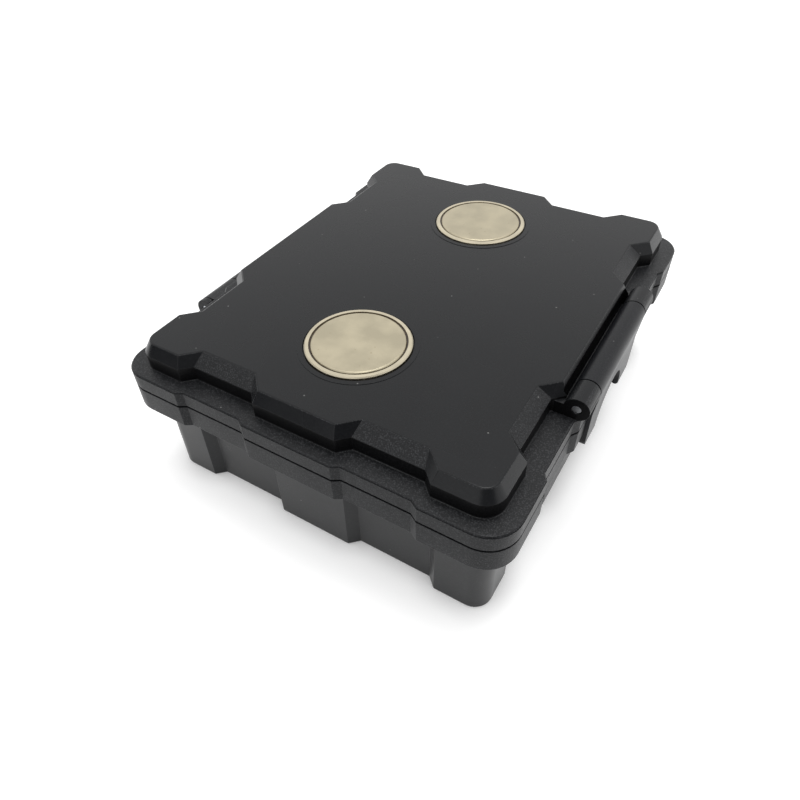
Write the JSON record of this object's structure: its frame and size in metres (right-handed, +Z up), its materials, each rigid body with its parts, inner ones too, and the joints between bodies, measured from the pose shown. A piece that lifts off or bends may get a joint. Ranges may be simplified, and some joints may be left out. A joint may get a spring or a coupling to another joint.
{
  "type": "magnetic key box",
  "caption": "Black moulded plastic hide-a-key box with stepped sides, a hinged lid with a silicone seal, a pivoting snap latch and round pot magnets set in the top.",
  "frame": {"origin": "Centre of the flat underside of the lower case, on the surface that the closed box rests on.", "axes": "+Z up out of the lid's magnet face, +X from the hinge towards the latch, +Y along the box."},
  "size_m": [0.1079, 0.122, 0.0427],
  "materials": {
    "case_plastic": "fine sand grain on the recesses and rims, smooth satin on the flat top",
    "latch_plastic": "satin, faintly grained",
    "seal_silicone": "soft matt",
    "pin_steel": "bright drawn wire",
    "cup_nickel": "nickel plate, satin",
    "disc_nickel": "nickel plate, slightly warm with faint smudges",
    "potting_resin": "dark amber resin"
  },
  "bodies": {
    "base": {"base_shell": "case_plastic", "lid_seal": "seal_silicone", "hinge_pin": "pin_steel"},
    "lid": {"lid_shell": "case_plastic", "latch_pin": "pin_steel", "magnet_cup_front": "cup_nickel", "magnet_cup_rear": "cup_nickel", "magnet_disc_front": "disc_nickel", "magnet_disc_rear": "disc_nickel", "resin_ring_front": "potting_resin", "resin_ring_rear": "potting_resin", "magnet_screws": "pin_steel", "sealing_washers": "seal_silicone"},
    "latch": {"latch": "latch_plastic"}
  },
  "joints": [
    {"name": "lid_hinge", "type": "hinge", "parent": "base", "child": "lid", "pos_m": [-0.0529, 0, 0.03095], "axis": [0, -1, 0], "range_deg": [0, 180]},
    {"name": "latch_hinge", "type": "hinge", "parent": "lid", "child": "latch", "pos_m": [0.04915, 0, 0.03795], "axis": [0, -1, 0], "range_deg": [0, 180]}
  ]
}
